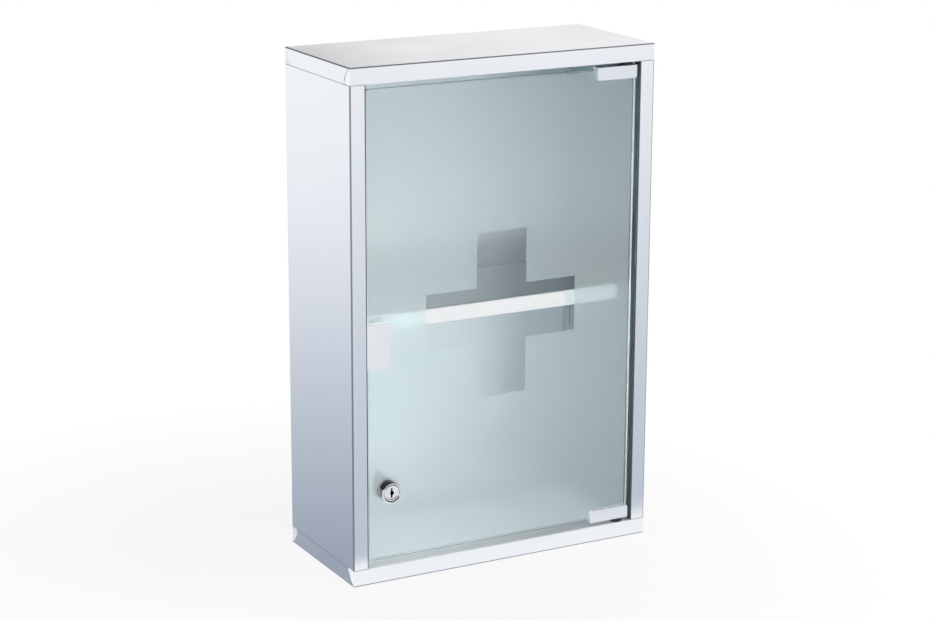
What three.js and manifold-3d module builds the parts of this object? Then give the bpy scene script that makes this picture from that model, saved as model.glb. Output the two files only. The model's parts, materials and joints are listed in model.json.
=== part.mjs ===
// A wall cabinet for medicines: a folded stainless steel carcass with a shelf, and a frosted glass
// door that turns on two pivot clamps, with a magnetic catch and a cam lock.
// Millimetres. X runs to the right seen from the front, Y towards the wall, Z up.
// The origin is the middle of the base, halfway between the wall and the face of the lock.

import * as THREE from "three";
import { mergeVertices } from "three/addons/utils/BufferGeometryUtils.js";
import Module from "manifold-3d";

const wasm = await Module();
wasm.setup();

// Driving dimensions of the carcass
const WIDTH = 300;
const DEPTH = 130;
const HEIGHT = 460;
const PANEL = 15; // thickness of the hollow walls, and the width of the frame round the door
const SHEET = 0.8;
const FOLD_INNER = 0.4; // inside radius of a fold
const SEAM = 0.3; // clearance where two sheets meet
const STILE_RETURN = 9; // how far the frame's inner edge is folded back
const LINER_FLANGE = 9;
const LINER_GAP = 0.7; // clearance between a cap's flanges and the lining inside it
const BACK_FLANGE = 10;
const WALL_HOLE_RADIUS = 3.5;
const WALL_HOLE_INSET_X = 45; // from the cabinet's side
const WALL_HOLE_INSET_Z = 50; // from its top and bottom

// Corner tabs of the caps: the front and rear flanges wrap round under the ends of the side flanges
const TAB_WIDE = 11;
const TAB_NARROW = 2;
const TAB_STEP = 0.4; // how deep the tabs lie behind the side flanges

// Shelf
const SHELF_TOP = 240;
const SHELF_CLEARANCE = 1; // between its lip and the hinge edge of the glass as the door turns
const SHELF_LIP = 15;
const SHELF_LIP_WIDTH = 250;
const SHELF_HEM = 7;
const SHELF_REAR = 10;
const SHELF_SIDE_GAP = 0.5;
const RAIL = 12;
const RAIL_SHEET = 1.2;
const RAIL_INSET = 10; // from the shelf's lip and from its rear edge

// Door glass and the frosting on its back
const GLASS = 4;
const GLASS_RECESS = 4;
const GLASS_SIDE_GAP = 2;
const GLASS_CORNER = 2;
const GLASS_ARRIS = 0.5;
const FROST = 0.3;
const FROST_MARGIN = 2;
const FROST_CLEARANCE = 0.6; // from the edge of the lock's hole
const CROSS_SPAN = 150;
const CROSS_ARM = 50;
const CONTACT = 0.1; // clearance between pieces that are glued or clamped together

// Pivot hinges
const CLAMP_LENGTH = 40;
const CLAMP_HEIGHT = 12;
const CLAMP_FRONT_JAW = 2.2;
const CLAMP_REAR_JAW = 2.5;
const CLAMP_WEB = 1.4;
const CLAMP_CORNER = 2.4;
const CLAMP_EDGE = 0.4;
const CLAMP_GASKET = 0.4;
const CLAMP_GAP = 3; // between a clamp and the wall that it turns beside
const PIVOT_INSET = 10; // from the hinge edge of the glass
const PIN_RADIUS = 2.5;
const PIN_REACH = 6; // how far a pin goes into the wall
const PIN_POINT = 0.6;
const BUSH_WALL = 1.5;
const BUSH_COLLAR = 1.2; // how much wider than its barrel a bush's collar is
const BUSH_LENGTH = 7;
const RUNNING = 0.1; // radial clearance of what turns
const END_PLAY = 0.3;
const GRUB_RADIUS = 1.75;
const GRUB_PITCH = 18;
const GRUB_STAND = 0.3; // how far a grub screw stands out of its jaw
const GRUB_SOCKET = 0.9; // across half of its hexagon

// Strike plate and magnetic catch
const STRIKE_LENGTH = 40;
const STRIKE_REACH = 22;
const STRIKE_SHEET = 1;
const STRIKE_BEND = 0.4;
const STRIKE_PAD = 0.3;
const STRIKE_CENTRE = 216;
const CATCH_WIDTH = 12;
const CATCH_DEPTH = 14;
const CATCH_HEIGHT = 17;
const CATCH_CORNER = 1.5;
const CATCH_TOP_GAP = 1.5; // below the shelf's lip
const CATCH_EAR = 6;
const CATCH_EAR_THICKNESS = 2.5;
const CATCH_WALL = 2.4;
const POLE = 1.2;
const POLE_STAND = 0.7; // how far the poles stand out of the case
const MAGNET_SET_BACK = 1.4;
const SCREW_RADIUS = 1.4;
const SCREW_HEAD_RADIUS = 2.6;
const SCREW_HEAD = 1.5;
const SCREW_LENGTH = 8;

// Cam lock
const LOCK_INSET = 18.5; // from the free edge of the glass
const LOCK_HEIGHT = 83.5;
const LOCK_HEAD_RADIUS = 9.5;
const LOCK_HEAD = 8.5;
const LOCK_EDGE = 0.5;
const LOCK_GASKET = 0.5;
const LOCK_BARREL_RADIUS = 8;
const LOCK_BARREL = 15; // from the front of the glass to its rear end
const LOCK_FACE_RADIUS = 7.6;
const LOCK_FACE = 4;
const LOCK_FACE_SET_BACK = 0.3;
const LOCK_FACE_RIM = 1.6;
const LOCK_GROOVE = 0.5; // bevel on each side of the round gap between the head and the plug
const LOCK_FACE_DISH = 0.5;
const LOCK_SHAFT_RADIUS = 5.5;
const LOCK_TAIL_RADIUS = 3.2;
const LOCK_TAIL_FLAT = 2.2;
const LOCK_HOLE_CLEARANCE = 0.4;
const LOCK_WASHER_RADIUS = 11;
const LOCK_WASHER = 1;
const LOCK_NUT_RADIUS = 11.5;
const LOCK_NUT = 4;
const KEYWAY_HEIGHT = 8.8;
const KEYWAY_WIDTH = 1.6;
const KEYWAY_BULGE = 1.9;
const KEYWAY_BULGE_OFFSET = 0.3;
const KEYWAY_DEPTH = 13;
const CAM_LENGTH = 26;
const CAM_WIDTH = 12;
const CAM_THICKNESS = 1.5;
const CAM_SLOT_SIDE = 2.5; // room for the cam before and behind it in the slot
const CAM_SLOT_END = 1.5;
const CAM_SCREW_LAP = 1; // how far the head of the cam's screw reaches past the tail

// Steps of round shapes
const FOLD_STEPS = 3;
const ROUND_STEPS = 6;
const SMALL_SIDES = 24;
const LARGE_SIDES = 48;
const HEXAGON = 6;
const CUT_PAST = 1; // how far a cut runs past the face that it opens

// Places that follow from the sizes above; depths are measured behind the front of the frame
const LOCK_PROUD = LOCK_HEAD + LOCK_GASKET - GLASS_RECESS;
const FRONT_Y = (Math.max(LOCK_PROUD, 0) - DEPTH) / 2;
const FOLD_RADIUS = FOLD_INNER + SHEET;
const HALF_SHEET = SHEET / 2;
const WALL_BOTTOM = PANEL + SEAM;
const WALL_TOP = HEIGHT - PANEL - SEAM;
const LINER_FACE = WIDTH / 2 - PANEL + SHEET + SEAM; // half the width between the inner walls
const BACK_FACE = DEPTH - SHEET - SEAM; // rear face of the back panel
const CLAMP_ROOM = CLAMP_GASKET + 2 * CONTACT;
const GLASS_END_GAP = CLAMP_GAP + CLAMP_WEB + CLAMP_ROOM;
const GLASS_HALF = WIDTH / 2 - PANEL - GLASS_SIDE_GAP;
const GLASS_BOTTOM = PANEL + GLASS_END_GAP;
const GLASS_TOP = HEIGHT - PANEL - GLASS_END_GAP;
const GLASS_BACK = GLASS_RECESS + GLASS;
const LAYER = CONTACT + FROST; // from the back of the glass to the back of the frosting
const PIVOT_X = GLASS_HALF - PIVOT_INSET;
const PIVOT_DEPTH = GLASS_RECESS + GLASS / 2;
const SHELF_FRONT = PIVOT_DEPTH + Math.hypot(PIVOT_INSET, GLASS / 2) + SHELF_CLEARANCE;
const BUSH_RADIUS = PIN_RADIUS + RUNNING + BUSH_WALL;
const CLAMP_CENTRE = GLASS_HALF - CLAMP_LENGTH / 2;
const STRIKE_ROOM = STRIKE_PAD + 2 * CONTACT;
const STRIKE_BACK = GLASS_BACK + LAYER + STRIKE_ROOM + STRIKE_SHEET;
const CATCH_START = STRIKE_BACK + END_PLAY;
const CATCH_CENTRE = SHELF_TOP - SHELF_LIP - CATCH_TOP_GAP - CATCH_HEIGHT / 2 - CATCH_EAR;
const CATCH_SCREW_RISE = (CATCH_HEIGHT + CATCH_EAR) / 2;
const CATCH_SCREW_DEPTH = CATCH_DEPTH / 2;
const LOCK_X = LOCK_INSET - GLASS_HALF;
const LOCK_HOLE_RADIUS = LOCK_BARREL_RADIUS + LOCK_HOLE_CLEARANCE;
const CAM_START = LOCK_BARREL + END_PLAY;
const CAM_END = CAM_START + CAM_THICKNESS;

// Materials
const material = (color, roughness, metalness, opacity = 1) =>
  new THREE.MeshStandardMaterial({ color, roughness, metalness, opacity, transparent: opacity < 1 });
const STEEL = material(0xd3d7dc, 0.32, 1);
const CHROME = material(0xe6e8ea, 0.08, 1);
const SATIN = material(0xdcdfe2, 0.25, 1);
const CLEAR_GLASS = material(0xd9ebe8, 0.03, 0, 0.35);
const FROSTING = material(0xc4d7d6, 0.7, 0, 0.8);
const NYLON = material(0x1d1f21, 0.55, 0);
const SOFT = material(0xd8dad6, 0.6, 0);
const CASE = material(0xe9e8e2, 0.5, 0);
const MAGNET = material(0x3b3c3e, 0.65, 0.4);
const ZINC = material(0xb7bcc0, 0.35, 1);

// Turning a profile that is drawn in XY and extruded along Z
const AXES = {
  front: new THREE.Matrix4().makeBasis(
    new THREE.Vector3(1, 0, 0),
    new THREE.Vector3(0, 0, 1),
    new THREE.Vector3(0, -1, 0),
  ),
  side: new THREE.Matrix4().makeBasis(
    new THREE.Vector3(0, 1, 0),
    new THREE.Vector3(0, 0, 1),
    new THREE.Vector3(1, 0, 0),
  ),
};

/** A closed solid from a three.js geometry. */
function solid(geometry) {
  geometry.deleteAttribute("normal");
  geometry.deleteAttribute("uv");
  const merged = mergeVertices(geometry);
  const corners = merged.index.array;
  const triVerts = [];
  for (let i = 0; i < corners.length; i += 3) {
    const [a, b, c] = corners.slice(i, i + 3);
    if (a !== b && b !== c && c !== a) triVerts.push(a, b, c);
  }
  const vertProperties = new Float32Array(merged.attributes.position.array);
  const mesh = new wasm.Mesh({ numProp: 3, vertProperties, triVerts: new Uint32Array(triVerts) });
  return new wasm.Manifold(mesh);
}

/** A named mesh of one solid. */
function piece(name, body, finish) {
  const { vertProperties, triVerts } = body.getMesh();
  const geometry = new THREE.BufferGeometry();
  geometry.setAttribute("position", new THREE.BufferAttribute(vertProperties, 3));
  geometry.setIndex(new THREE.BufferAttribute(triVerts, 1));
  geometry.computeVertexNormals();
  const mesh = new THREE.Mesh(geometry, finish);
  mesh.name = name;
  return mesh;
}

/** A profile in X and Y, from one height to another. */
function plan(shape, from, to) {
  const geometry = new THREE.ExtrudeGeometry(shape, extrusion(to - from));
  return solid(geometry.translate(0, 0, from));
}

/** A profile in X and Z, from one depth to another, with its edges taken off by a bevel. */
function front(shape, from, to, bevel = 0) {
  const geometry = new THREE.ExtrudeGeometry(shape, extrusion(to - from, bevel));
  geometry.translate(0, 0, bevel);
  return solid(geometry.applyMatrix4(AXES.front).translate(0, to, 0));
}

/** A profile in Y and Z, from one place across to another. */
function side(shape, from, to) {
  const geometry = new THREE.ExtrudeGeometry(shape, extrusion(to - from));
  return solid(geometry.applyMatrix4(AXES.side).translate(from, 0, 0));
}

function extrusion(length, bevel = 0) {
  return {
    depth: length - 2 * bevel,
    curveSegments: ROUND_STEPS,
    bevelEnabled: bevel > 0,
    bevelThickness: bevel,
    bevelSize: bevel,
    bevelOffset: -bevel,
    bevelSegments: 1,
  };
}

/** Two distances on one side of the middle, as a lower and an upper place. */
const span = (sense, from, to) => [sense * from, sense * to].sort((a, b) => a - b);

function block([x0, x1], [y0, y1], [z0, z1]) {
  const geometry = new THREE.BoxGeometry(x1 - x0, y1 - y0, z1 - z0);
  return solid(geometry.translate((x0 + x1) / 2, (y0 + y1) / 2, (z0 + z1) / 2));
}

/** A form turned about Y, from its radius and place along Y at each point of the profile. */
function turned(profile, sides) {
  const points = profile.map(([radius, along]) => new THREE.Vector2(radius, along));
  return new THREE.LatheGeometry(points, sides);
}

/** Solids turned about an axis through a given place. */
const aboutX = (profile, sides, at = [0, 0, 0]) =>
  solid(turned(profile, sides).rotateZ(-Math.PI / 2).translate(...at));
const aboutY = (profile, sides, at = [0, 0, 0]) => solid(turned(profile, sides).translate(...at));
const aboutZ = (profile, sides, at = [0, 0, 0]) =>
  solid(turned(profile, sides).rotateX(Math.PI / 2).translate(...at));

/** The profile of a round bar, and that of a ring, between two places along its axis. */
const bar = (radius, from, to) => [[0, from], [radius, from], [radius, to], [0, to]];
const ring = (inner, outer, from, to) => [
  [inner, from], [outer, from], [outer, to], [inner, to], [inner, from],
];

function rectangle(x0, x1, z0, z1) {
  return new THREE.Shape([
    new THREE.Vector2(x0, z0),
    new THREE.Vector2(x1, z0),
    new THREE.Vector2(x1, z1),
    new THREE.Vector2(x0, z1),
  ]);
}

function roundedRectangle(x0, x1, z0, z1, radius) {
  const shape = new THREE.Shape();
  shape.absarc(x1 - radius, z0 + radius, radius, -Math.PI / 2, 0);
  shape.absarc(x1 - radius, z1 - radius, radius, 0, Math.PI / 2);
  shape.absarc(x0 + radius, z1 - radius, radius, Math.PI / 2, Math.PI);
  shape.absarc(x0 + radius, z0 + radius, radius, Math.PI, Math.PI * 1.5);
  return shape;
}

/** The section of a sheet that is folded along a path through the middle of its thickness. */
function foldedSheet(path, sheet, inner) {
  const middle = inner + sheet / 2;
  const corners = path.map(([x, y]) => new THREE.Vector2(x, y));
  const last = corners.length - 1;
  const heading = corners.slice(1).map((corner, i) => corner.clone().sub(corners[i]).normalize());
  const stations = [[corners[0], heading[0]]];
  for (let i = 1; i < last; i += 1) {
    const turn = Math.atan2(heading[i - 1].cross(heading[i]), heading[i - 1].dot(heading[i]));
    const trim = middle * Math.tan(Math.abs(turn) / 2);
    const start = corners[i].clone().addScaledVector(heading[i - 1], -trim);
    const inwards = new THREE.Vector2(-heading[i - 1].y, heading[i - 1].x);
    const centre = start.clone().addScaledVector(inwards, middle * Math.sign(turn));
    for (let step = 0; step <= FOLD_STEPS; step += 1) {
      const angle = (turn * step) / FOLD_STEPS;
      const facing = heading[i - 1].clone().rotateAround(new THREE.Vector2(), angle);
      stations.push([start.clone().rotateAround(centre, angle), facing]);
    }
  }
  stations.push([corners[last], heading[last - 1]]);
  const face = (offset) =>
    stations.map(([at, facing]) => new THREE.Vector2(at.x - facing.y * offset, at.y + facing.x * offset));
  return new THREE.Shape([...face(sheet / 2), ...face(-sheet / 2).reverse()]);
}

/** A lid's form between two heights: a flat top with rounded shoulders on its four sides. */
function lid(width, depth, bottom, top, shoulder) {
  const section = (span) => {
    const half = span / 2;
    const shape = new THREE.Shape();
    shape.moveTo(-half, bottom);
    shape.lineTo(half, bottom);
    shape.absarc(half - shoulder, top - shoulder, shoulder, 0, Math.PI / 2);
    shape.absarc(shoulder - half, top - shoulder, shoulder, Math.PI / 2, Math.PI);
    return shape;
  };
  const along = front(section(width), -depth / 2, depth / 2);
  return along.intersect(side(section(depth), -width / 2, width / 2));
}

/** A sheet with its four edges folded down from a flat top at Z = 0. */
function tray(width, depth, flange) {
  const within = [width - 2 * SHEET, depth - 2 * SHEET];
  const hollow = lid(...within, -flange - CUT_PAST, -SHEET, FOLD_INNER);
  return lid(width, depth, -flange, 0, FOLD_RADIUS).subtract(hollow);
}

/** A cap over or under the side walls, with a tab round each of its corners. */
function cap() {
  const half = WIDTH / 2;
  let body = tray(WIDTH, DEPTH, PANEL);
  for (const across of [-1, 1]) {
    for (const along of [-1, 1]) {
      const end = (along * DEPTH) / 2;
      const past = end + along * CUT_PAST;
      const wide = end - along * TAB_WIDE;
      const relief = new THREE.Shape();
      relief.moveTo(past, -FOLD_RADIUS);
      relief.lineTo(end - along * TAB_NARROW, -FOLD_RADIUS);
      relief.quadraticCurveTo(wide, -PANEL / 2, wide, -PANEL);
      relief.lineTo(wide, -PANEL - CUT_PAST);
      relief.lineTo(past, -PANEL - CUT_PAST);
      body = body.subtract(side(relief, ...span(across, half - TAB_STEP, half + CUT_PAST)));
    }
  }
  return body;
}

/** The lining that closes a cap and holds a hinge bush; turned over, it lies the other way round. */
function liner(turnedOver) {
  const inset = 2 * (SHEET + LINER_GAP);
  const pivot = [PIVOT_X, (turnedOver ? -1 : 1) * (PIVOT_DEPTH - DEPTH / 2), 0];
  const hole = aboutZ(bar(BUSH_RADIUS + CONTACT, -LINER_FLANGE, LINER_FLANGE), SMALL_SIDES, pivot);
  return tray(WIDTH - inset, DEPTH - inset, LINER_FLANGE).subtract(hole);
}

/** A side wall's outer sheet: the frame's front face and return, the side and the rear flange. */
function sideWall(across) {
  const outer = across * (WIDTH / 2 - HALF_SHEET);
  const inner = across * (WIDTH / 2 - PANEL + HALF_SHEET);
  const path = [
    [inner, STILE_RETURN],
    [inner, HALF_SHEET],
    [outer, HALF_SHEET],
    [outer, DEPTH - HALF_SHEET],
    [across * (WIDTH / 2 - PANEL), DEPTH - HALF_SHEET],
  ];
  return plan(foldedSheet(path, SHEET, FOLD_INNER), WALL_BOTTOM, WALL_TOP);
}

/** A side wall's inner sheet, folded outwards at its front and rear edges. */
function innerWall(across) {
  const face = across * (LINER_FACE + HALF_SHEET);
  const edge = across * (LINER_FACE + LINER_FLANGE);
  const start = SHEET + SEAM + HALF_SHEET;
  const path = [
    [edge, start],
    [face, start],
    [face, DEPTH - start],
    [edge, DEPTH - start],
  ];
  return plan(foldedSheet(path, SHEET, FOLD_INNER), WALL_BOTTOM, WALL_TOP);
}

/** The left inner wall takes the lock's cam and the screws of the catch. */
function lockSideWall() {
  const reach = LOCK_X + LINER_FACE;
  const swing = Math.sqrt(Math.max(CAM_LENGTH ** 2 - reach ** 2, 0));
  const sheet = [-LINER_FACE - 2 * SHEET, -LINER_FACE + SHEET];
  const slot = block(
    sheet,
    [GLASS_RECESS + CAM_START - CAM_SLOT_SIDE, GLASS_RECESS + CAM_END + CAM_SLOT_SIDE],
    [LOCK_HEIGHT - CAM_WIDTH / 2 - CAM_SLOT_END, LOCK_HEIGHT + swing + CAM_SLOT_END],
  );
  let body = innerWall(-1).subtract(slot);
  for (const rise of [-CATCH_SCREW_RISE, CATCH_SCREW_RISE]) {
    const at = [0, CATCH_START + CATCH_SCREW_DEPTH, CATCH_CENTRE + rise];
    body = body.subtract(aboutX(bar(SCREW_RADIUS + CONTACT, ...sheet), SMALL_SIDES, at));
  }
  return body;
}

/** The back panel, folded forward at its edges, with a hole for a wall screw near each corner. */
function backPanel() {
  const hole = bar(WALL_HOLE_RADIUS, -BACK_FLANGE, BACK_FLANGE);
  const x = WIDTH / 2 - WALL_HOLE_INSET_X;
  const y = HEIGHT / 2 - WALL_HOLE_INSET_Z;
  let body = tray(2 * (LINER_FACE - SEAM), WALL_TOP - WALL_BOTTOM, BACK_FLANGE);
  for (const across of [-1, 1]) {
    for (const up of [-1, 1]) {
      body = body.subtract(aboutZ(hole, SMALL_SIDES, [across * x, up * y, 0]));
    }
  }
  return body;
}

/** The shelf: a hemmed lip in front, a flange behind, and ears past the lip that rest on the rails. */
function shelf() {
  const rear = BACK_FACE - SHEET - SEAM;
  const path = [
    [SHELF_FRONT + SHELF_HEM, SHELF_TOP - SHELF_LIP + HALF_SHEET],
    [SHELF_FRONT + HALF_SHEET, SHELF_TOP - SHELF_LIP + HALF_SHEET],
    [SHELF_FRONT + HALF_SHEET, SHELF_TOP - HALF_SHEET],
    [rear - HALF_SHEET, SHELF_TOP - HALF_SHEET],
    [rear - HALF_SHEET, SHELF_TOP - SHELF_REAR],
  ];
  const middle = side(foldedSheet(path, SHEET, FOLD_INNER), -SHELF_LIP_WIDTH / 2, SHELF_LIP_WIDTH / 2);
  const half = WIDTH / 2 - PANEL - SHELF_SIDE_GAP;
  const plate = block(
    [-half, half],
    [SHELF_FRONT + FOLD_RADIUS, rear - FOLD_RADIUS],
    [SHELF_TOP - SHEET, SHELF_TOP],
  );
  return middle.add(plate);
}

/** An angle on the inner wall that carries one end of the shelf. */
function shelfRail(across) {
  const upright = across * (LINER_FACE - SEAM - RAIL_SHEET / 2);
  const top = SHELF_TOP - SHEET - SEAM - RAIL_SHEET / 2;
  const path = [
    [upright, top - RAIL],
    [upright, top],
    [upright - across * RAIL, top],
  ];
  const section = foldedSheet(path, RAIL_SHEET, FOLD_INNER);
  return front(section, SHELF_FRONT + RAIL_INSET, BACK_FACE - SHEET - BACK_FLANGE - RAIL_INSET);
}

/** A collared bush: its collar lies on the wall at Z = 0 and its barrel goes into it. */
function hingeBush() {
  const bore = PIN_RADIUS + RUNNING;
  const collar = CLAMP_GAP - END_PLAY;
  const profile = [
    [bore, -BUSH_LENGTH],
    [BUSH_RADIUS, -BUSH_LENGTH],
    [BUSH_RADIUS, 0],
    [BUSH_RADIUS + BUSH_COLLAR, 0],
    [BUSH_RADIUS + BUSH_COLLAR, collar],
    [bore, collar],
    [bore, -BUSH_LENGTH],
  ];
  return aboutZ(profile, SMALL_SIDES);
}

/** The door's pane, with its edges arrised and a hole for the lock. */
function doorGlass() {
  const outline = roundedRectangle(-GLASS_HALF, GLASS_HALF, GLASS_BOTTOM, GLASS_TOP, GLASS_CORNER);
  const hole = bar(LOCK_HOLE_RADIUS, GLASS_RECESS - CUT_PAST, GLASS_BACK + CUT_PAST);
  const pane = front(outline, GLASS_RECESS, GLASS_BACK, GLASS_ARRIS);
  return pane.subtract(aboutY(hole, LARGE_SIDES, [LOCK_X, 0, LOCK_HEIGHT]));
}

/** The frosted layer behind the pane, open at the cross and the lock. */
function frosting() {
  const inset = FROST_MARGIN;
  const outline = rectangle(
    -GLASS_HALF + inset,
    GLASS_HALF - inset,
    GLASS_BOTTOM + inset,
    GLASS_TOP - inset,
  );
  const layer = [GLASS_BACK + CONTACT, GLASS_BACK + LAYER];
  const cut = [GLASS_BACK, GLASS_BACK + LAYER + CUT_PAST];
  const middle = (GLASS_BOTTOM + GLASS_TOP) / 2;
  const long = CROSS_SPAN / 2;
  const short = CROSS_ARM / 2;
  const hole = bar(LOCK_HOLE_RADIUS + FROST_CLEARANCE, ...cut);
  return front(outline, ...layer)
    .subtract(block([-long, long], cut, [middle - short, middle + short]))
    .subtract(block([-short, short], cut, [middle - long, middle + long]))
    .subtract(aboutY(hole, LARGE_SIDES, [LOCK_X, 0, LOCK_HEIGHT]));
}

// Parts of one hinge are drawn about the middle of the glass, with the clamp's outer edge at Z = 0
// and the glass above it; up is 1 for the bottom hinge and -1 for the top one.
const CLAMP_SLOT = GLASS / 2 + CLAMP_ROOM;
const CLAMP_BACK = CLAMP_SLOT + LAYER + CLAMP_REAR_JAW;
const CLAMP_PIVOT = PIVOT_X - CLAMP_CENTRE;
const GRUB_RISE = (CLAMP_HEIGHT + CLAMP_WEB) / 2;

function hingeClamp(up) {
  const half = CLAMP_LENGTH / 2;
  const outline = new THREE.Shape();
  outline.moveTo(-half, 0);
  outline.lineTo(half, 0);
  const turn = up > 0 ? [0, Math.PI / 2, Math.PI] : [0, -Math.PI / 2, -Math.PI];
  const shoulder = up * (CLAMP_HEIGHT - CLAMP_CORNER);
  outline.absarc(half - CLAMP_CORNER, shoulder, CLAMP_CORNER, turn[0], turn[1], up < 0);
  outline.absarc(CLAMP_CORNER - half, shoulder, CLAMP_CORNER, turn[1], turn[2], up < 0);
  const slot = block(
    [-CLAMP_LENGTH, CLAMP_LENGTH],
    [-CLAMP_SLOT, CLAMP_SLOT + LAYER],
    span(up, CLAMP_WEB, CLAMP_HEIGHT + CUT_PAST),
  );
  const pin = bar(PIN_RADIUS + CONTACT, -2 * CLAMP_WEB, 2 * CLAMP_WEB);
  const hole = bar(GRUB_RADIUS + CONTACT, 0, CLAMP_BACK + CUT_PAST);
  let body = front(outline, -CLAMP_SLOT - CLAMP_FRONT_JAW, CLAMP_BACK, CLAMP_EDGE).subtract(slot);
  body = body.subtract(aboutZ(pin, SMALL_SIDES, [CLAMP_PIVOT, 0, 0]));
  for (const x of [-GRUB_PITCH / 2, GRUB_PITCH / 2]) {
    body = body.subtract(aboutY(hole, SMALL_SIDES, [x, 0, up * GRUB_RISE]));
  }
  return body;
}

/** A soft channel between the clamp and the frosted glass. */
function clampGasket(up) {
  const outer = GLASS / 2 + CONTACT + CLAMP_GASKET;
  const inner = GLASS / 2 + CONTACT;
  const half = CLAMP_LENGTH / 2 - CLAMP_EDGE;
  const floor = CLAMP_WEB + CONTACT;
  const rim = CLAMP_HEIGHT - CLAMP_EDGE;
  const channel = block([-half, half], [-outer, outer + LAYER], span(up, floor, rim));
  const room = span(up, floor + CLAMP_GASKET, rim + CUT_PAST);
  return channel.subtract(block([-CLAMP_LENGTH, CLAMP_LENGTH], [-inner, inner + LAYER], room));
}

/** A pivot pin, seated in the clamp's web and pointing into the wall. */
function hingePin(up) {
  const tip = CLAMP_GAP + PIN_REACH;
  const profile = [
    [0, -tip],
    [PIN_RADIUS - PIN_POINT, -tip],
    [PIN_RADIUS, PIN_POINT - tip],
    [PIN_RADIUS, CLAMP_WEB],
    [0, CLAMP_WEB],
  ];
  const pin = turned(profile, SMALL_SIDES).rotateX((up * Math.PI) / 2);
  return solid(pin.translate(CLAMP_PIVOT, 0, 0));
}

/** A grub screw through the rear jaw, with a hexagon socket. */
function grubScrew(up, x) {
  const start = CLAMP_SLOT + LAYER;
  const end = CLAMP_BACK + GRUB_STAND;
  const at = [x, 0, up * GRUB_RISE];
  const socket = bar(GRUB_SOCKET, (start + end) / 2, end + CUT_PAST);
  return aboutY(bar(GRUB_RADIUS, start, end), SMALL_SIDES, at).subtract(aboutY(socket, HEXAGON, at));
}

/** A sheet folded round the free edge of the frosted glass, a given room away from it. */
function edgeClip(room, sheet, inner) {
  const outside = room + sheet / 2;
  const reach = STRIKE_REACH - GLASS_HALF;
  const path = [
    [reach, GLASS_RECESS - outside],
    [-GLASS_HALF - outside, GLASS_RECESS - outside],
    [-GLASS_HALF - outside, GLASS_BACK + LAYER + outside],
    [reach, GLASS_BACK + LAYER + outside],
  ];
  const section = foldedSheet(path, sheet, inner);
  return plan(section, STRIKE_CENTRE - STRIKE_LENGTH / 2, STRIKE_CENTRE + STRIKE_LENGTH / 2);
}

// The catch is drawn with the inner wall at X = 0, its poles at Y = 0 and its middle at Z = 0.
const CATCH_POCKET = [CATCH_WALL, CATCH_WIDTH - CATCH_WALL];
const CATCH_POCKET_RISE = CATCH_HEIGHT / 2 - CATCH_WALL;
const CATCH_POCKET_DEPTH = CATCH_DEPTH - CATCH_WALL;

function catchCase() {
  const rise = CATCH_HEIGHT / 2;
  const ends = rise + CATCH_EAR;
  const box = roundedRectangle(CONTACT, CATCH_WIDTH, -rise, rise, CATCH_CORNER);
  const ears = roundedRectangle(POLE_STAND, CATCH_DEPTH, -ends, ends, CATCH_CORNER);
  let body = front(box, POLE_STAND, CATCH_DEPTH).add(side(ears, CONTACT, CATCH_EAR_THICKNESS));
  const pocket = [-CATCH_POCKET_RISE, CATCH_POCKET_RISE];
  body = body.subtract(block(CATCH_POCKET, [-CUT_PAST, CATCH_POCKET_DEPTH], pocket));
  const hole = bar(SCREW_RADIUS + CONTACT, -CATCH_WIDTH, CATCH_WIDTH);
  for (const z of [-CATCH_SCREW_RISE, CATCH_SCREW_RISE]) {
    body = body.subtract(aboutX(hole, SMALL_SIDES, [0, CATCH_SCREW_DEPTH, z]));
  }
  return body;
}

/** One of the two steel poles, or the magnet between them, in the catch's pocket. */
function catchPlate(from, to, start) {
  const rise = CATCH_POCKET_RISE - CONTACT;
  return block([from, to], [start, CATCH_POCKET_DEPTH - CONTACT], [-rise, rise]);
}

function catchScrew(z) {
  const seat = CATCH_EAR_THICKNESS + CONTACT;
  const profile = [
    [0, seat - SCREW_LENGTH],
    [SCREW_RADIUS, seat - SCREW_LENGTH + SCREW_RADIUS],
    [SCREW_RADIUS, seat],
    [SCREW_HEAD_RADIUS, seat],
    [SCREW_HEAD_RADIUS, seat + SCREW_HEAD / 2],
    [SCREW_HEAD_RADIUS / 2, seat + SCREW_HEAD],
    [0, seat + SCREW_HEAD],
  ];
  return aboutX(profile, SMALL_SIDES, [0, CATCH_SCREW_DEPTH, z]);
}

// The lock is drawn about its axis along Y, with the front of the glass at Y = 0.
const LOCK_SEAT = -LOCK_GASKET;
const LOCK_FRONT = LOCK_SEAT - LOCK_HEAD;
const LOCK_FACE_FRONT = LOCK_FRONT + LOCK_FACE_SET_BACK;
const LOCK_FACE_BACK = LOCK_FACE_FRONT + LOCK_FACE;
const WASHER_FRONT = GLASS + LAYER + CONTACT;
const NUT_FRONT = WASHER_FRONT + LOCK_WASHER + CONTACT;

function lockHousing() {
  const bore = LOCK_SHAFT_RADIUS + RUNNING;
  const counterbore = LOCK_FACE_RADIUS + RUNNING;
  const floor = LOCK_FACE_BACK + RUNNING;
  const profile = [
    [bore, LOCK_BARREL],
    [bore, floor],
    [counterbore, floor],
    [counterbore, LOCK_FRONT + LOCK_GROOVE],
    [counterbore + LOCK_GROOVE, LOCK_FRONT],
    [LOCK_HEAD_RADIUS - LOCK_EDGE, LOCK_FRONT],
    [LOCK_HEAD_RADIUS, LOCK_FRONT + LOCK_EDGE],
    [LOCK_HEAD_RADIUS, LOCK_SEAT],
    [LOCK_BARREL_RADIUS, LOCK_SEAT],
    [LOCK_BARREL_RADIUS, LOCK_BARREL],
    [bore, LOCK_BARREL],
  ];
  return aboutY(profile, LARGE_SIDES);
}

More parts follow.
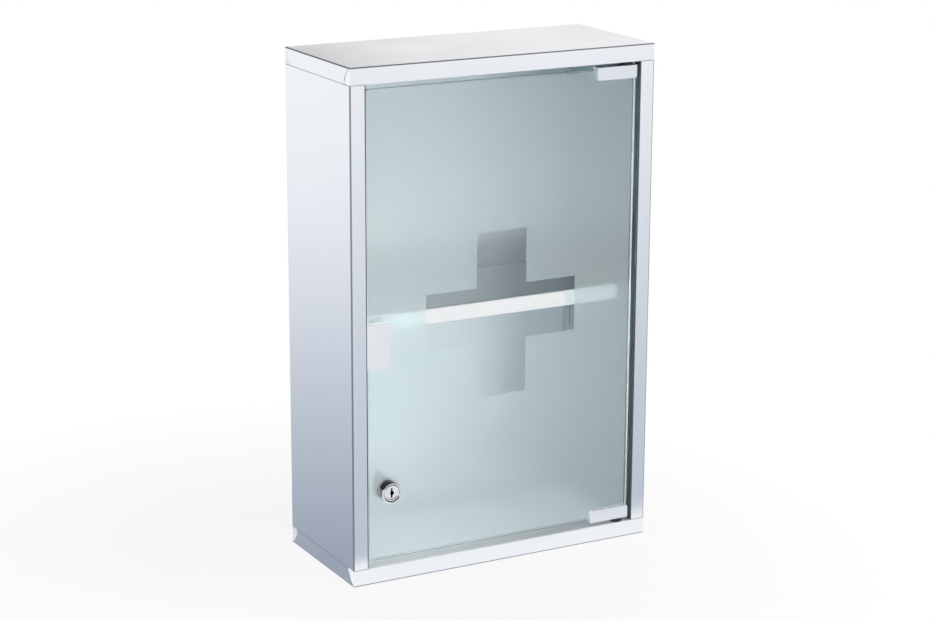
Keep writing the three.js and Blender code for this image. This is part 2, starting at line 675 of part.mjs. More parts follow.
function lockGasket() {
  const room = [LOCK_SEAT + CONTACT, -CONTACT];
  return aboutY(ring(LOCK_BARREL_RADIUS + CONTACT, LOCK_HEAD_RADIUS, ...room), SMALL_SIDES);
}

function lockWasher() {
  const thickness = [WASHER_FRONT, WASHER_FRONT + LOCK_WASHER];
  return aboutY(ring(LOCK_BARREL_RADIUS + CONTACT, LOCK_WASHER_RADIUS, ...thickness), SMALL_SIDES);
}

function lockNut() {
  const back = NUT_FRONT + LOCK_NUT;
  const thread = bar(LOCK_BARREL_RADIUS + CONTACT, NUT_FRONT - CUT_PAST, back + CUT_PAST);
  const body = aboutY(bar(LOCK_NUT_RADIUS, NUT_FRONT, back), HEXAGON);
  return body.subtract(aboutY(thread, LARGE_SIDES));
}

/** A keyway: an upright slot with a round bulge at its middle, larger on one side. */
function keyway(from, to) {
  const half = KEYWAY_WIDTH / 2;
  const rise = KEYWAY_HEIGHT / 2;
  const bulge = aboutY(bar(KEYWAY_BULGE, from, to), SMALL_SIDES, [KEYWAY_BULGE_OFFSET, 0, 0]);
  return block([-half, half], [from, to], [-rise, rise]).add(bulge);
}

/** The tail that drives the cam: a round bar with two flats. */
function lockTail(spare, from, to) {
  const flat = LOCK_TAIL_FLAT + spare;
  const round = LOCK_TAIL_RADIUS + spare;
  return aboutY(bar(round, from, to), SMALL_SIDES).intersect(
    block([-flat, flat], [from, to], [-round - CUT_PAST, round + CUT_PAST]),
  );
}

/** The plug that the key turns. */
function lockPlug() {
  const rim = LOCK_FACE_RADIUS - LOCK_FACE_RIM;
  const profile = [
    [0, LOCK_FACE_FRONT + LOCK_FACE_DISH],
    [rim - LOCK_FACE_DISH, LOCK_FACE_FRONT + LOCK_FACE_DISH],
    [rim, LOCK_FACE_FRONT],
    [LOCK_FACE_RADIUS - LOCK_GROOVE, LOCK_FACE_FRONT],
    [LOCK_FACE_RADIUS, LOCK_FACE_FRONT + LOCK_GROOVE],
    [LOCK_FACE_RADIUS, LOCK_FACE_BACK],
    [LOCK_SHAFT_RADIUS, LOCK_FACE_BACK],
    [LOCK_SHAFT_RADIUS, LOCK_BARREL],
    [0, LOCK_BARREL],
  ];
  const tail = lockTail(0, LOCK_BARREL - CUT_PAST, CAM_END);
  const thread = bar(SCREW_RADIUS + CONTACT, CAM_END - SCREW_LENGTH, CAM_END + CUT_PAST);
  const slot = keyway(LOCK_FRONT - CUT_PAST, LOCK_FACE_FRONT + KEYWAY_DEPTH);
  const body = aboutY(profile, LARGE_SIDES).add(tail).subtract(slot);
  return body.subtract(aboutY(thread, SMALL_SIDES));
}

/** The cam, pointing up, clear of the frame, as it stands when the lock is open. */
function lockCam() {
  const half = CAM_WIDTH / 2;
  const outline = new THREE.Shape();
  outline.absarc(0, CAM_LENGTH - half, half, 0, Math.PI);
  outline.absarc(0, 0, half, Math.PI, 2 * Math.PI);
  const hole = lockTail(CONTACT, CAM_START - CUT_PAST, CAM_END + CUT_PAST);
  return front(outline, CAM_START, CAM_END).subtract(hole);
}

function camScrew() {
  const seat = CAM_END + CONTACT;
  const tip = seat - SCREW_LENGTH + SCREW_RADIUS;
  const head = LOCK_TAIL_RADIUS + CAM_SCREW_LAP;
  const profile = [
    [0, tip],
    [SCREW_RADIUS, tip],
    [SCREW_RADIUS, seat],
    [head, seat],
    [head, seat + SCREW_HEAD],
    [0, seat + SCREW_HEAD],
  ];
  return aboutY(profile, SMALL_SIDES);
}

function place(mesh, x, y, z, turn = 0) {
  mesh.position.set(x, y, z);
  mesh.rotation.x = turn;
  return mesh;
}

function carcass() {
  const group = new THREE.Group();
  const middle = DEPTH / 2;
  const over = Math.PI;
  group.add(
    place(piece("top_cap", cap(), STEEL), 0, middle, HEIGHT),
    place(piece("bottom_cap", cap(), STEEL), 0, middle, 0, over),
    place(piece("ceiling_panel", liner(true), STEEL), 0, middle, HEIGHT - PANEL, over),
    place(piece("floor_panel", liner(false), STEEL), 0, middle, PANEL),
    piece("left_side_panel", sideWall(-1), STEEL),
    piece("right_side_panel", sideWall(1), STEEL),
    piece("left_inner_wall", lockSideWall(), STEEL),
    piece("right_inner_wall", innerWall(1), STEEL),
    place(piece("back_panel", backPanel(), STEEL), 0, BACK_FACE, HEIGHT / 2, -Math.PI / 2),
    piece("shelf", shelf(), STEEL),
    piece("left_shelf_rail", shelfRail(-1), STEEL),
    piece("right_shelf_rail", shelfRail(1), STEEL),
    place(piece("bottom_hinge_bush", hingeBush(), NYLON), PIVOT_X, PIVOT_DEPTH, PANEL),
    place(piece("top_hinge_bush", hingeBush(), NYLON), PIVOT_X, PIVOT_DEPTH, HEIGHT - PANEL, over),
    magneticCatch(),
  );
  return group;
}

function magneticCatch() {
  const group = new THREE.Group();
  const [near, far] = CATCH_POCKET;
  const inner = CONTACT + POLE + CONTACT;
  group.position.set(-LINER_FACE, CATCH_START, CATCH_CENTRE);
  group.add(
    piece("catch_case", catchCase(), CASE),
    piece("catch_pole_left", catchPlate(near + CONTACT, near + CONTACT + POLE, 0), ZINC),
    piece("catch_pole_right", catchPlate(far - CONTACT - POLE, far - CONTACT, 0), ZINC),
    piece("catch_magnet", catchPlate(near + inner, far - inner, MAGNET_SET_BACK), MAGNET),
    piece("catch_screw_upper", catchScrew(CATCH_SCREW_RISE), ZINC),
    piece("catch_screw_lower", catchScrew(-CATCH_SCREW_RISE), ZINC),
  );
  return group;
}

function hinge(name, up, edge) {
  const group = new THREE.Group();
  group.position.set(CLAMP_CENTRE, PIVOT_DEPTH, edge);
  group.add(
    piece(`${name}_hinge_clamp`, hingeClamp(up), SATIN),
    piece(`${name}_hinge_gasket`, clampGasket(up), SOFT),
    piece(`${name}_hinge_pin`, hingePin(up), ZINC),
    piece(`${name}_hinge_screw_left`, grubScrew(up, -GRUB_PITCH / 2), ZINC),
    piece(`${name}_hinge_screw_right`, grubScrew(up, GRUB_PITCH / 2), ZINC),
  );
  return group;
}

function lock() {
  const group = new THREE.Group();
  group.position.set(LOCK_X, GLASS_RECESS, LOCK_HEIGHT);
  const turning = new THREE.Group();
  turning.add(
    piece("lock_plug", lockPlug(), CHROME),
    piece("lock_cam", lockCam(), ZINC),
    piece("lock_cam_screw", camScrew(), ZINC),
  );
  group.add(
    piece("lock_housing", lockHousing(), CHROME),
    piece("lock_gasket", lockGasket(), SOFT),
    piece("lock_washer", lockWasher(), NYLON),
    piece("lock_nut", lockNut(), ZINC),
    turning,
  );
  return group;
}

/** The door, as a group that turns about the pivots. */
function door() {
  const group = new THREE.Group();
  const leaf = new THREE.Group();
  group.position.set(PIVOT_X, PIVOT_DEPTH, 0);
  leaf.position.copy(group.position).negate();
  leaf.add(
    piece("door_glass", doorGlass(), CLEAR_GLASS),
    piece("frosting", frosting(), FROSTING),
    hinge("bottom", 1, PANEL + CLAMP_GAP),
    hinge("top", -1, HEIGHT - PANEL - CLAMP_GAP),
    piece("strike_plate", edgeClip(STRIKE_ROOM, STRIKE_SHEET, STRIKE_BEND), SATIN),
    piece("strike_pad", edgeClip(CONTACT, STRIKE_PAD, CONTACT), SOFT),
    lock(),
  );
  group.add(leaf);
  return group;
}

const cabinet = new THREE.Group();
cabinet.position.y = FRONT_Y;
cabinet.add(carcass(), door());

export default cabinet;
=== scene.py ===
# %% [markdown]
# # A glass door medical cabinet
# The CAD model already holds every piece of this wall cabinet at its real size. This lesson gives the
# pieces their finishes and their soft edges, and sets up a small studio.
# All sizes are in metres, and every piece stays where the CAD frame puts it.

import json
import math

import bmesh
import bpy
from mathutils import Matrix, Vector


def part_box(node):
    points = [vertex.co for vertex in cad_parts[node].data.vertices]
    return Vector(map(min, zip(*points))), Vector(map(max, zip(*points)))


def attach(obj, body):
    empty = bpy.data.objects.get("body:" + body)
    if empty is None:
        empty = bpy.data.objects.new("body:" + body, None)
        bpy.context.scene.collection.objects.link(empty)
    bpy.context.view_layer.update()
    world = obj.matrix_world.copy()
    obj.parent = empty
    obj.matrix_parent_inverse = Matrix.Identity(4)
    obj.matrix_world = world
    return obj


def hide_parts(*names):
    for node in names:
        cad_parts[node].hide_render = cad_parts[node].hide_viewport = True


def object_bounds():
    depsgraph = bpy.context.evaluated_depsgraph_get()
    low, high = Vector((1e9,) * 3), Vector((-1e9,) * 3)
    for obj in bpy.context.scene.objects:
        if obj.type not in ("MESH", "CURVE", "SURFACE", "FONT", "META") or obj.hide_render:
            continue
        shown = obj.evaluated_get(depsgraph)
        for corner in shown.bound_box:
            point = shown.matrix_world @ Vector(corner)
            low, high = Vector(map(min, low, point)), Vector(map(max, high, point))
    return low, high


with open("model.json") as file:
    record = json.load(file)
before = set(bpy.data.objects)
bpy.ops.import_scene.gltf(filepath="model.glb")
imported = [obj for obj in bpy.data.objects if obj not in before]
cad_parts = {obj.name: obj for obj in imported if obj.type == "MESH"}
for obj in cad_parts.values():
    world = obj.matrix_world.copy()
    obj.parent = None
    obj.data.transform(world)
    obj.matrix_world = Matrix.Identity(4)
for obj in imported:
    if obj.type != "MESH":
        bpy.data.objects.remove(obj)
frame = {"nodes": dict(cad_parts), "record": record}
NODES = frame["nodes"]
CAD_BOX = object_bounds()
print(len(NODES), "CAD nodes,", [round(side, 4) for side in CAD_BOX[1] - CAD_BOX[0]])

# %% [markdown]
# ## Camera
# Corners of the carcass and of the cross window that show in the photograph give the place and the turn
# of the camera. It stands to the left of the door and looks down on the cabinet. A long lens keeps the
# upright edges nearly parallel.

# %% Camera
PHOTO_WIDTH = 930
FOCAL_PIXELS = 2423.05
SENSOR = 36
CAMERA_PLACE = Vector((-1.0116, -1.8579, 0.7900))
AZIMUTH, ELEVATION, ROLL = (math.radians(angle) for angle in (-28.416, 15.106, 0.230))

camera_data = bpy.data.cameras.new("camera")
camera_data.sensor_width = SENSOR
camera_data.lens = FOCAL_PIXELS / PHOTO_WIDTH * SENSOR
camera = bpy.data.objects.new("camera", camera_data)
turn = Matrix.Rotation(AZIMUTH, 4, "Z") @ Matrix.Rotation(math.pi / 2 - ELEVATION, 4, "X")
camera.matrix_world = Matrix.Translation(CAMERA_PLACE) @ turn @ Matrix.Rotation(ROLL, 4, "Z")
bpy.context.scene.collection.objects.link(camera)
bpy.context.scene.camera = camera
bpy.context.scene.view_settings.view_transform = "Standard"
print("lens", round(camera_data.lens, 1), "mm")

# %% [markdown]
# ## Small helpers for nodes
# A material is a tree of nodes. The first helper adds a node, with its settings and with what goes into
# its sockets, which may be a value or the output of another node. The others are short names for the
# nodes that this lesson uses most, such as a mix of two colours, a sum, a change of range and a noise.

# %% Node helpers
MIX_A, MIX_B, MIX_RESULT = 6, 7, 2  # the colour sockets of a Mix node


def add_node(tree, kind, inputs=None, **settings):
    made = tree.nodes.new(kind)
    for name, value in settings.items():
        setattr(made, name, value)
    for name, value in (inputs or {}).items():
        if isinstance(value, bpy.types.NodeSocket):
            tree.links.new(value, made.inputs[name])
        else:
            made.inputs[name].default_value = value
    return made


def mix_colours(tree, factor, first, second):
    mix = add_node(tree, "ShaderNodeMix", {0: factor, MIX_A: first, MIX_B: second}, data_type="RGBA")
    return mix.outputs[MIX_RESULT]


def mix_shaders(tree, factor, first, second):
    return add_node(tree, "ShaderNodeMixShader", {0: factor, 1: first, 2: second}).outputs["Shader"]


def maths(tree, operation, first, second=0.0):
    return add_node(tree, "ShaderNodeMath", {0: first, 1: second}, operation=operation).outputs["Value"]


def vectors(tree, operation, first, second):
    return add_node(tree, "ShaderNodeVectorMath", {0: first, 1: second}, operation=operation)


def ranged(tree, value, start, end, low=0.0, high=1.0):
    limits = {"From Min": start, "From Max": end, "To Min": low, "To Max": high}
    return add_node(tree, "ShaderNodeMapRange", {"Value": value, **limits}).outputs["Result"]


def noise(tree, place, scale, detail=2.0):
    settings = {"Vector": place, "Scale": scale, "Detail": detail}
    return add_node(tree, "ShaderNodeTexNoise", settings).outputs["Fac"]


def object_place(tree):
    return add_node(tree, "ShaderNodeTexCoord").outputs["Object"]


def parts_of(tree, vector):
    return add_node(tree, "ShaderNodeSeparateXYZ", {"Vector": vector}).outputs


def grey(level):
    return (level, level, level, 1)


print("helpers ready")

# %% [markdown]
# ## Studio
# Polished and brushed steel have hardly any colour of their own: they show the room. Product studios
# therefore work with a white sweep and a few dark flags. The flag here stands high behind the cabinet,
# to its left, and shades the left of the top. What the camera sees directly stays plain white, and only
# reflected rays meet the flag. So the studio first has to tell the kinds of rays apart.

# %% Kinds of rays
def is_mirrored(tree, rays):
    """One for a ray that has met polished metal or glass on its way, else zero."""
    bounced = maths(tree, "MINIMUM", rays.outputs["Glossy Depth"], 1.0)
    return maths(tree, "MAXIMUM", rays.outputs["Is Glossy Ray"], bounced)


def is_from_inside(tree, rays):
    """One or more for a ray that leaves through the door after it met the steel inside, else zero."""
    passed = maths(tree, "MINIMUM", rays.outputs["Transmission Depth"], 1.0)
    return maths(tree, "MULTIPLY", passed, rays.outputs["Glossy Depth"])


def is_direct(tree, rays):
    """One for a ray that the camera sends out, also through the glass, else zero."""
    return maths(tree, "MAXIMUM", rays.outputs["Is Camera Ray"], rays.outputs["Is Transmission Ray"])


print("three kinds of rays")

# %% World
AMBIENT = 0.10
FLAG, BEYOND_THE_FLAG = 0.05, 0.5
OVERHEAD = 0.62
FROM_INSIDE = 0.4
FLAG_SLOPE = Vector((-1.44, 0.69, 1.0))  # the flag's lower edge rises to the right
FLAG_EDGE, FLAG_FADE = (0.17, 0.36), (0.55, 1.15)  # heights on that slope
FLAG_SIDE = (-0.45, -0.2)  # how far a ray points to the back
OVERHEAD_RISE = (0.0, 0.7)

world = bpy.data.worlds.new("studio")
bpy.context.scene.world = world
world.use_nodes = True
tree = world.node_tree
rays = add_node(tree, "ShaderNodeLightPath")
direction = add_node(tree, "ShaderNodeTexCoord").outputs["Generated"]
rise = vectors(tree, "DOT_PRODUCT", direction, FLAG_SLOPE).outputs["Value"]
behind = ranged(tree, parts_of(tree, direction)["Y"], *FLAG_SIDE)
high = ranged(tree, rise, *FLAG_EDGE)
beyond = ranged(tree, rise, *FLAG_FADE, FLAG, BEYOND_THE_FLAG)
overhead = ranged(tree, parts_of(tree, direction)["Z"], *OVERHEAD_RISE, 1.0, OVERHEAD)
flagged = mix_colours(tree, maths(tree, "MULTIPLY", behind, high), overhead, beyond)
colour = mix_colours(tree, is_direct(tree, rays), grey(AMBIENT), grey(1))
colour = mix_colours(tree, is_mirrored(tree, rays), colour, flagged)
colour = mix_colours(tree, is_from_inside(tree, rays), colour, grey(FROM_INSIDE))
tree.links.new(colour, tree.nodes["Background"].inputs["Color"])
print("world with", len(tree.nodes), "nodes")

# %% [markdown]
# The floor is a wide white sheet. The camera sees it white, with the shadow of the cabinet near its
# foot. In reflections it glows with a painted shade by distance: that gives the side panel its fall from
# white to grey and the frame its softer one. The narrow painted bright strip before the front is what the
# bottom cap mirrors.

# %% Floor sheet
FLOOR_SIZE = 40
FLOOR_DROP = 0.0002

floor_mesh = bpy.data.meshes.new("floor")
shape = bmesh.new()
bmesh.ops.create_grid(shape, x_segments=1, y_segments=1, size=FLOOR_SIZE / 2)
bmesh.ops.translate(shape, verts=shape.verts, vec=(0, 0, -FLOOR_DROP))
shape.to_mesh(floor_mesh)
shape.free()
floor = bpy.data.objects.new("floor", floor_mesh)
bpy.context.scene.collection.objects.link(floor)
print("floor of", FLOOR_SIZE, "m")

# %% Floor paper
FLOOR_WHITE = 0.92
LOSS_OF_RED, GAIN_OF_BLUE = 0.18, 0.3
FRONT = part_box("top_cap")[0].y
FRONT_BLEND = 0.004
LEFT_FOOT = (CAD_BOX[0].x, 0, 0)
REACH = 2.5
# Each pair is a distance and the painted brightness of the paper there, as reflections see it.
BEFORE_THE_FRONT = [
    (0, 0.95), (0.05, 0.95), (0.062, 0.58), (0.35, 0.62), (0.9, 0.73), (2.0, 0.90), (2.5, 0.95)
]
BESIDE_THE_LEFT = [(0, 0.38), (0.37, 0.55), (0.85, 0.73), (1.5, 0.90), (2.5, 0.96)]
INSIDE_FADE, INSIDE_LEVELS = (1.1, 1.8), (1.0, 0.5)
FOOT_SHADOW, FOOT_LEVELS = (0.15, 0.5), (0.86, 1.0)


def cool(level):
    """A painted shade of white paper: the darker the painted shade, the bluer it is."""
    shadow = 1 - level
    return (level * (1 - LOSS_OF_RED * shadow), level, level * (1 + GAIN_OF_BLUE * shadow), 1)


def shaded_by_distance(tree, distance, stops):
    ramp = add_node(tree, "ShaderNodeValToRGB", {"Fac": maths(tree, "DIVIDE", distance, REACH)})
    steps = ramp.color_ramp.elements
    steps.remove(steps[0])
    for place, level in stops[:-1]:
        steps.new(place / REACH).color = cool(level)
    steps[-1].color = cool(stops[-1][1])
    return ramp.outputs["Color"]


floor_paper = bpy.data.materials.new("floor_paper")
floor_paper.use_nodes = True
floor_mesh.materials.append(floor_paper)
tree = floor_paper.node_tree
tree.nodes.remove(tree.nodes["Principled BSDF"])
rays = add_node(tree, "ShaderNodeLightPath")
mirrored = is_mirrored(tree, rays)
place = object_place(tree)
depth = parts_of(tree, place)["Y"]
ahead = maths(tree, "SUBTRACT", FRONT, depth)
from_foot = vectors(tree, "SUBTRACT", place, LEFT_FOOT).outputs["Vector"]
away = add_node(tree, "ShaderNodeVectorMath", {0: from_foot}, operation="LENGTH").outputs["Value"]
before = shaded_by_distance(tree, ahead, BEFORE_THE_FRONT)
beside = shaded_by_distance(tree, away, BESIDE_THE_LEFT)
shaded = mix_colours(tree, ranged(tree, depth, FRONT - FRONT_BLEND, FRONT), before, beside)
near = ranged(tree, ahead, *INSIDE_FADE, *INSIDE_LEVELS)
shaded = mix_colours(tree, is_from_inside(tree, rays), shaded, near)
glow = add_node(tree, "ShaderNodeEmission", {"Color": mix_colours(tree, mirrored, grey(1), shaded)})
paper = add_node(tree, "ShaderNodeBsdfDiffuse", {"Color": grey(FLOOR_WHITE)})
clear_of_foot = ranged(tree, away, *FOOT_SHADOW, *FOOT_LEVELS)
share = maths(tree, "MULTIPLY", is_direct(tree, rays), clear_of_foot)
share = maths(tree, "MAXIMUM", share, mirrored)
surface = mix_shaders(tree, share, paper.outputs["BSDF"], glow.outputs["Emission"])
tree.links.new(surface, tree.nodes["Material Output"].inputs["Surface"])
print("floor paper with", len(tree.nodes), "nodes")

# %% [markdown]
# Three softboxes light what is not metal: the frosted glass, the plastic and the floor. The key stands
# close on the left, so that the frosting is brighter there than at the hinges. It casts no shadow, since
# the frame would throw one on the frosting.

# %% Softboxes
def softbox(name, place, target, size, power, shadow=True):
    lamp = bpy.data.lights.new(name, "AREA")
    lamp.shape = "RECTANGLE"
    lamp.size, lamp.size_y = size
    lamp.energy = power
    lamp.use_shadow = shadow
    holder = bpy.data.objects.new(name, lamp)
    holder.location = place
    aim = Vector(target) - Vector(place)
    holder.rotation_euler = aim.to_track_quat("-Z", "Y").to_euler()
    holder.visible_camera = False
    holder.visible_glossy = False
    bpy.context.scene.collection.objects.link(holder)


softbox(
    "key_softbox",
    place=(-0.62, -0.36, 0.14),
    target=(-0.03, -0.05, 0.14),
    size=(0.3, 0.26),
    power=4.55,
    shadow=False,
)
softbox("fill_softbox", place=(1.1, -1.3, 1.0), target=(0, 0, 0.2), size=(1.0, 1.0), power=1.3)
softbox("top_softbox", place=(0, -0.2, 2.2), target=(0, 0, 0), size=(1.8, 1.8), power=10)
print("softboxes:", [lamp.name for lamp in bpy.data.lights])

# %% [markdown]
# ## Brushed sheet
# Stainless sheet is ground with a belt, which leaves fine straight scratches. A noise that is stretched a
# great deal in one direction looks like them. The effect is a node group, so that each finish can use it
# with its own grain direction and strength.

# %% Brushing group
FLOAT, COLOUR, VECTOR = "NodeSocketFloat", "NodeSocketColor", "NodeSocketVector"
BRUSHING_IN = {"Place": VECTOR, "Stretch": VECTOR, "Metal": COLOUR, "Depth": FLOAT, "Dullness": FLOAT}
BRUSHING_OUT = {"Color": COLOUR, "Roughness": FLOAT, "Height": FLOAT}
SCRATCH = grey(0.5)
STREAK_DETAIL = 4.0
CLOUD_SCALE = 9.0
NOISE_LOW, NOISE_HIGH = 0.3, 0.7
UNEVEN_CLOUDS, UNEVEN_STREAKS = 0.03, 0.01

brushing = bpy.data.node_groups.new("brushing", "ShaderNodeTree")
for title, kind in BRUSHING_IN.items():
    brushing.interface.new_socket(title, in_out="INPUT", socket_type=kind)
for title, kind in BRUSHING_OUT.items():
    brushing.interface.new_socket(title, in_out="OUTPUT", socket_type=kind)
entry = add_node(brushing, "NodeGroupInput").outputs
stretched = vectors(brushing, "MULTIPLY", entry["Place"], entry["Stretch"]).outputs["Vector"]
streaks = noise(brushing, stretched, 1.0, STREAK_DETAIL)
clouds = noise(brushing, entry["Place"], CLOUD_SCALE)
worn = maths(brushing, "MULTIPLY", entry["Depth"], ranged(brushing, streaks, NOISE_HIGH, NOISE_LOW))
patchy = ranged(brushing, clouds, NOISE_LOW, NOISE_HIGH, -UNEVEN_CLOUDS, UNEVEN_CLOUDS)
streaky = ranged(brushing, streaks, NOISE_LOW, NOISE_HIGH, -UNEVEN_STREAKS, UNEVEN_STREAKS)
uneven = maths(brushing, "ADD", patchy, streaky)
made = {
    "Color": mix_colours(brushing, worn, entry["Metal"], SCRATCH),
    "Roughness": maths(brushing, "ADD", entry["Dullness"], uneven),
    "Height": streaks,
}
add_node(brushing, "NodeGroupOutput", made)
print("brushing group with", len(brushing.nodes), "nodes")

# %% Brushed metal
RELIEF = 0.0002
SIDEWAYS_BLUR = 0.72


def new_material(name, **constants):
    material = bpy.data.materials.new(name)
    material.use_nodes = True
    shader = material.node_tree.nodes["Principled BSDF"]
    for socket, value in constants.items():
        shader.inputs[socket.replace("_", " ")].default_value = value
    return material, material.node_tree, shader


def brushed_metal(name, metal, stretch, dullness, depth=0.03, bump=0.005, metallic=1.0):
    material, tree, shader = new_material(name, Metallic=metallic)
    sheet = {"Place": object_place(tree), "Stretch": stretch}
    look = {"Metal": metal, "Depth": depth, "Dullness": dullness}
    grain = add_node(tree, "ShaderNodeGroup", {**sheet, **look}, node_tree=brushing)
    bumps = {"Height": grain.outputs["Height"], "Strength": bump, "Distance": RELIEF}
    relief = add_node(tree, "ShaderNodeBump", bumps)
    tree.links.new(grain.outputs["Color"], shader.inputs["Base Color"])
    tree.links.new(grain.outputs["Roughness"], shader.inputs["Roughness"])
    tree.links.new(relief.outputs["Normal"], shader.inputs["Normal"])
    return material


def blur_sideways(material):
    """Spreads reflections across upright scratches, to the left and right."""
    tree = material.node_tree
    shader = tree.nodes["Principled BSDF"]
    shader.inputs["Anisotropic"].default_value = SIDEWAYS_BLUR
    sideways = add_node(tree, "ShaderNodeCombineXYZ", {"X": 1.0})
    tree.links.new(sideways.outputs["Vector"], shader.inputs["Tangent"])


print("brushed metal ready")

# %% [markdown]
# The outside is pale sheet that mirrors the room. A shut cabinet is dark inside, so the ceiling, the
# rails, the inner walls, the returns of the side panels and the top of the shelf get painted shade:
# their steel is greyer. The scratches on the back panel run up: they blur what it mirrors to the left
# and right, and level lines stay sharp in it.

# %% Sheet finishes
FINE, LONG = 1500, 8
ACROSS, UPRIGHT, EVEN = (LONG, FINE, FINE), (FINE, FINE, LONG), (400, 400, 400)
PALE_STEEL = (0.93, 0.945, 0.975, 1)
INNER_STEEL = (0.91, 0.925, 0.945, 1)
# Painted shade: the steel inside a shut cabinet is greyer.
INSIDE_SHADE_STEEL = (0.235, 0.305, 0.33, 1)
# Painted shade: the returns beside the door are near-black.
SHADED_STEEL = (0.10, 0.13, 0.14, 1)

steel_across = brushed_metal("steel_brushed_across", PALE_STEEL, ACROSS, dullness=0.19)
steel_upright = brushed_metal("steel_brushed_upright", PALE_STEEL, UPRIGHT, dullness=0.19)
inside_across = brushed_metal("steel_inside_across", INSIDE_SHADE_STEEL, ACROSS, dullness=0.34)
inside_upright = brushed_metal("steel_inside_upright", INNER_STEEL, UPRIGHT, dullness=0.32, bump=0.003)
blur_sideways(inside_upright)
shaded_upright = brushed_metal("steel_painted_shade_upright", INSIDE_SHADE_STEEL, UPRIGHT, dullness=0.34)
return_steel = brushed_metal("steel_return", SHADED_STEEL, UPRIGHT, dullness=0.34)
shelf_steel = brushed_metal("steel_shelf", (0.97, 0.975, 0.985, 1), ACROSS, dullness=0.22, bump=0.01)
# Painted shade for the top of the shelf.
shelf_top_steel = brushed_metal("steel_shelf_top", (0.58, 0.60, 0.63, 1), ACROSS, dullness=0.22, bump=0.01)
lining_steel = brushed_metal("steel_lining", (0.95, 0.965, 0.99, 1), ACROSS, dullness=0.34, metallic=0.3)
# Painted dark reflection for the rounds of the folds.
fold_reflection_steel = brushed_metal("steel_fold_painted_reflection", (0.33, 0.34, 0.37, 1), EVEN, dullness=0.22)
# Painted highlight for the corner tabs and the rims of the clamps: a paler, half-matte copy of the steel.
highlight_steel = brushed_metal("steel_painted_highlight", (0.95, 0.96, 0.975, 1), EVEN, dullness=0.32, metallic=0.4)
print("sheet finishes made")

# %% Plated finishes
SATIN, TURNED = (60, FINE, FINE), (FINE, 4 * FINE, FINE)

satin_plate = brushed_metal("satin_plate", (0.93, 0.955, 0.985, 1), SATIN, dullness=0.46, bump=0.01)
satin_steel = brushed_metal(
    "satin_steel", (0.93, 0.945, 0.965, 1), UPRIGHT, dullness=0.46, bump=0.01, metallic=0.6
)
zinc_plate = brushed_metal("zinc_plate", (0.66, 0.68, 0.71, 1), EVEN, dullness=0.34, depth=0.25, bump=0.05)
chrome = brushed_metal("chrome_plate", (0.90, 0.91, 0.925, 1), EVEN, dullness=0.10)
# Painted highlight for the face of the lock.
highlight_chrome = brushed_metal("chrome_face_painted_highlight", (0.93, 0.94, 0.95, 1), EVEN, dullness=0.20, metallic=0.5)
# Painted shade for the round side of the lock, on turned grain.
shaded_turned_chrome = brushed_metal(
    "chrome_turned_painted_shade", (0.40, 0.42, 0.44, 1), TURNED, dullness=0.16, depth=0.05, bump=0.02
)
# Painted dark reflection on the lock's upper side, and painted shade in its keyway.
dark_chrome = brushed_metal("chrome_shaded", (0.008, 0.009, 0.010, 1), EVEN, dullness=0.14, depth=0.05)
print("plated finishes made")

# %% [markdown]
# ## Glass and frosting
# The pane is clear float glass. Seen through its face it has hardly a colour, but along its ground edges
# it is the green of thick glass. Cycles lets no lamp shine straight through a refracting surface, so for
# shadow rays the pane is simply transparent, and the inside of the cabinet is lit as in the real one.

# %% Glass
CLEAR, EDGE_GREEN = (0.985, 0.995, 0.994, 1), (0.74, 0.91, 0.88, 1)
PANE_SHADOW = (0.94, 0.98, 0.975, 1)
GROUND_EDGE = 0.45
ARRIS = 0.0006


def lets_lamps_through(tree, surface, colour):
    rays = add_node(tree, "ShaderNodeLightPath")
    clear = add_node(tree, "ShaderNodeBsdfTransparent", {"Color": colour})
    surface = mix_shaders(tree, rays.outputs["Is Shadow Ray"], surface, clear.outputs["BSDF"])
    tree.links.new(surface, tree.nodes["Material Output"].inputs["Surface"])


glass, tree, shader = new_material("float_glass", IOR=1.5, Transmission_Weight=1.0)
low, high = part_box("door_glass")
place = parts_of(tree, vectors(tree, "SUBTRACT", object_place(tree), (low + high) / 2).outputs["Vector"])
edges = [
    ranged(tree, maths(tree, "ABSOLUTE", place[axis]), half - ARRIS, half - ARRIS / 2)
    for axis, half in (("X", (high.x - low.x) / 2), ("Z", (high.z - low.z) / 2))
]
edge = maths(tree, "MAXIMUM", *edges)
tree.links.new(mix_colours(tree, edge, CLEAR, EDGE_GREEN), shader.inputs["Base Color"])
tree.links.new(maths(tree, "MULTIPLY", edge, GROUND_EDGE), shader.inputs["Roughness"])
lets_lamps_through(tree, shader.outputs["BSDF"], PANE_SHADOW)
print("glass made")

# %% [markdown]
# The frosting is a pale film: it blurs what is behind it, and it also passes on the light that falls on
# its other side, which is what makes the inside of the cabinet glow on the lamp's side.

# %% Frosting
FROST_PALE, FROST_DEEP = (0.88, 0.95, 0.96, 1), (0.85, 0.93, 0.94, 1)
FROST_SHADOW = (0.3, 0.33, 0.33, 1)
FROST_GRAIN = 900.0
FROST_GLOW = 0.2

frost, tree, shader = new_material("frosted_layer", Roughness=0.28, IOR=1.3, Transmission_Weight=0.84)
grain = noise(tree, object_place(tree), FROST_GRAIN)
colour = mix_colours(tree, grain, FROST_DEEP, FROST_PALE)
tree.links.new(colour, shader.inputs["Base Color"])
glow = add_node(tree, "ShaderNodeBsdfTranslucent", {"Color": colour})
film = mix_shaders(tree, FROST_GLOW, shader.outputs["BSDF"], glow.outputs["BSDF"])
lets_lamps_through(tree, film, FROST_SHADOW)
print("frosting made")

# %% [markdown]
# ## Plastics
# The hinge bushes are black nylon, the catch is a white moulding, and thin soft pads keep metal off the
# glass. Moulded plastic is never quite even, so a fine noise varies its gloss and its surface. The
# catch's magnet is a dull dark ceramic, which is made in the same way.

# %% Plastics
MOULD_GRAIN, MOULD_DETAIL = 1200.0, 3.0
MOULD_DEEPER = 0.9
MOULD_UNEVEN = 0.05
MOULD_BUMP = 0.05


